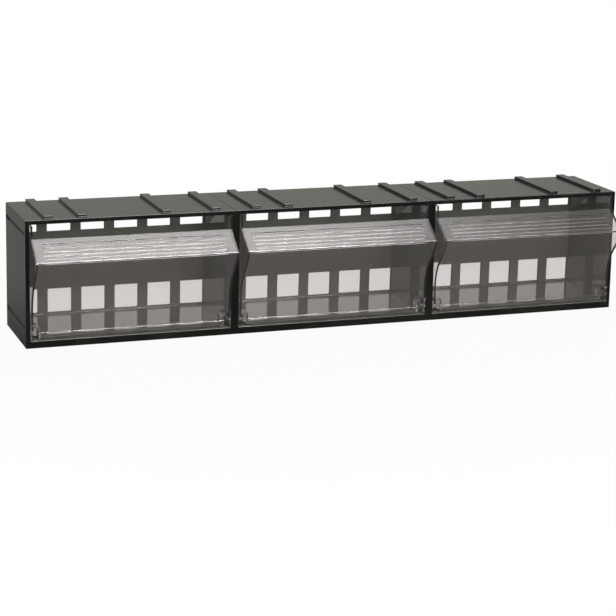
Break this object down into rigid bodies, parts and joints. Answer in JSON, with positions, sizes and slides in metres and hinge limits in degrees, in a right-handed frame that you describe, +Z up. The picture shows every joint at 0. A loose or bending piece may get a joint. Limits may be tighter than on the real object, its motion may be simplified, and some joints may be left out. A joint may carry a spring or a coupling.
{
  "type": "tip-out bin row",
  "caption": "Row of dark moulded housings joined side by side, each with a clear bin that tips out on hinge pins to give its small parts.",
  "frame": {"origin": "middle of the whole row, noses and ridges included, on the plane of its base", "axes": "+X to the right as seen from the front, +Y to the back, +Z up; the noses face -Y"},
  "size_m": [0.601, 0.1162, 0.1222],
  "materials": {
    "housing_plastic": "glossy black moulded plastic with a fine grain",
    "clear_plastic": "clear moulded polystyrene, faintly grey",
    "pin_steel": "plain drawn steel"
  },
  "bodies": {
    "housings": {"left_housing": "housing_plastic", "left_bin_left_hinge_pin": "pin_steel", "left_bin_right_hinge_pin": "pin_steel", "middle_housing": "housing_plastic", "middle_bin_left_hinge_pin": "pin_steel", "middle_bin_right_hinge_pin": "pin_steel", "right_housing": "housing_plastic", "right_bin_left_hinge_pin": "pin_steel", "right_bin_right_hinge_pin": "pin_steel"},
    "left_bin": {"left_bin": "clear_plastic"},
    "middle_bin": {"middle_bin": "clear_plastic"},
    "right_bin": {"right_bin": "clear_plastic"}
  },
  "joints": [
    {"name": "left_bin_tilt", "type": "hinge", "parent": "housings", "child": "left_bin", "pos_m": [-0.2005, -0.0269, 0.0145], "axis": [1, 0, 0], "range_deg": [0, 40]},
    {"name": "middle_bin_tilt", "type": "hinge", "parent": "housings", "child": "middle_bin", "pos_m": [-0.0005, -0.0269, 0.0145], "axis": [1, 0, 0], "range_deg": [0, 40]},
    {"name": "right_bin_tilt", "type": "hinge", "parent": "housings", "child": "right_bin", "pos_m": [0.1995, -0.0269, 0.0145], "axis": [1, 0, 0], "range_deg": [0, 40]}
  ]
}
